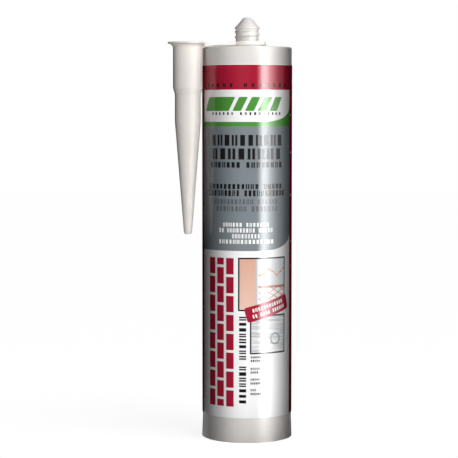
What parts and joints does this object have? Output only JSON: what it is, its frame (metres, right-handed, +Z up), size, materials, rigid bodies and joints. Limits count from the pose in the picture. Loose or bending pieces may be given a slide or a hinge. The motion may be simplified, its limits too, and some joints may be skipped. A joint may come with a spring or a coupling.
{
  "type": "sealant cartridge with hanging nozzle",
  "caption": "Caulk tube: plastic cartridge with a threaded neck, open rear with a sliding piston, printed film label, and a tapered nozzle hanging from the neck by a strap.",
  "frame": {"origin": "centre of the barrel's open rear end, on the surface it stands on", "axes": "+Z up the barrel's axis from the rear rim to the neck; the label's front faces -Y; the nozzle hangs on the -X side"},
  "size_m": [0.0693, 0.0508, 0.2352],
  "materials": {
    "barrel_plastic": "satin white polyethylene",
    "piston_plastic": "satin white polyethylene",
    "sealant_paste": "pale grey paste",
    "nozzle_plastic": "satin white polyethylene",
    "label_film": "glossy white film",
    "red_ink": "glossy deep red ink",
    "green_ink": "glossy green ink",
    "grey_ink": "glossy mid grey ink",
    "black_ink": "glossy black ink"
  },
  "bodies": {
    "cartridge": {"barrel": "barrel_plastic", "sealant": "sealant_paste", "label": "label_film", "red_print": "red_ink", "green_print": "green_ink", "grey_print": "grey_ink", "black_print": "black_ink"},
    "plunger": {"piston": "piston_plastic"},
    "nozzle_moulding": {"nozzle": "nozzle_plastic"}
  },
  "joints": [
    {"name": "piston_slide", "type": "slide", "parent": "cartridge", "child": "plunger", "axis": [0, 0, 1], "range_m": [0, 0.18], "deforming": ["sealant"]},
    {"name": "nozzle_swivel", "type": "hinge", "parent": "cartridge", "child": "nozzle_moulding", "pos_m": [0, 0, 0.2206], "axis": [0, 0, 1], "continuous": true}
  ]
}
